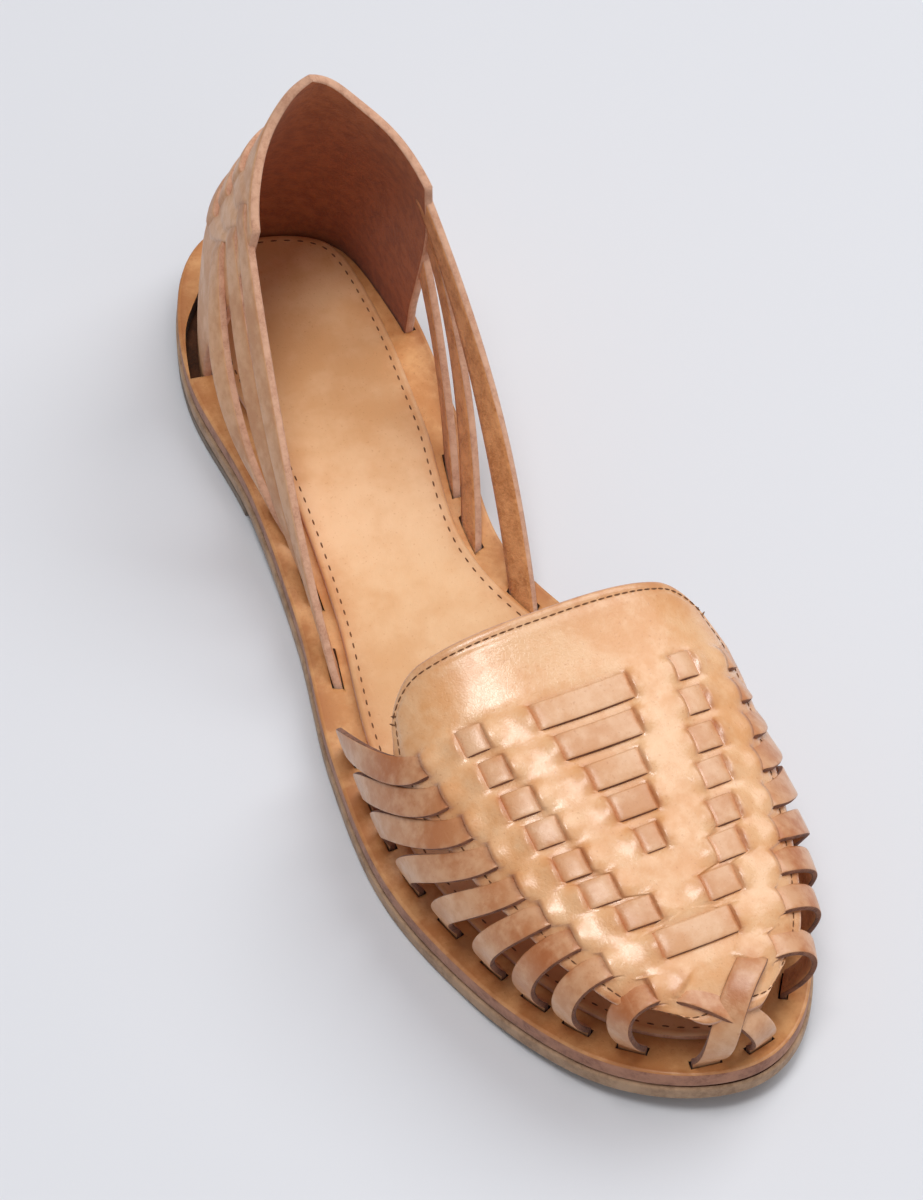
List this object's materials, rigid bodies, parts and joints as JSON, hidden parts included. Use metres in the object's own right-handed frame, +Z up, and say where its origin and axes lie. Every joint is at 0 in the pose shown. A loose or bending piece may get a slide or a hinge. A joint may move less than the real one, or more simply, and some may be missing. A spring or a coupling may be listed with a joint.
{
  "type": "huarache sandal",
  "caption": "Flat leather huarache sandal, right shoe: slotted leather sole, woven toe cover with side straps, tall heel counter and slanting back straps.",
  "frame": {"origin": "middle of the sole's outline, on the floor", "axes": "+X to the toe, +Y to the inner (big toe) side of this right shoe, +Z up"},
  "size_m": [0.25, 0.0818, 0.0882],
  "materials": {
    "lift_leather": "worn stacked leather, matte grey-brown",
    "outsole_leather": "matte grey-beige sole leather",
    "board_leather": "smooth tan sole leather, brownish-mauve cut edge",
    "insole_leather": "light tan padded leather, stitched round its edge",
    "vamp_leather": "caramel tan leather with a soft gloss",
    "counter_leather": "tan leather outside, dark brown suede inside"
  },
  "bodies": {
    "root": {"heel_lift": "lift_leather", "outsole": "outsole_leather", "midsole_board": "board_leather", "insole": "insole_leather", "vamp": "vamp_leather", "heel_counter": "counter_leather"}
  },
  "joints": []
}
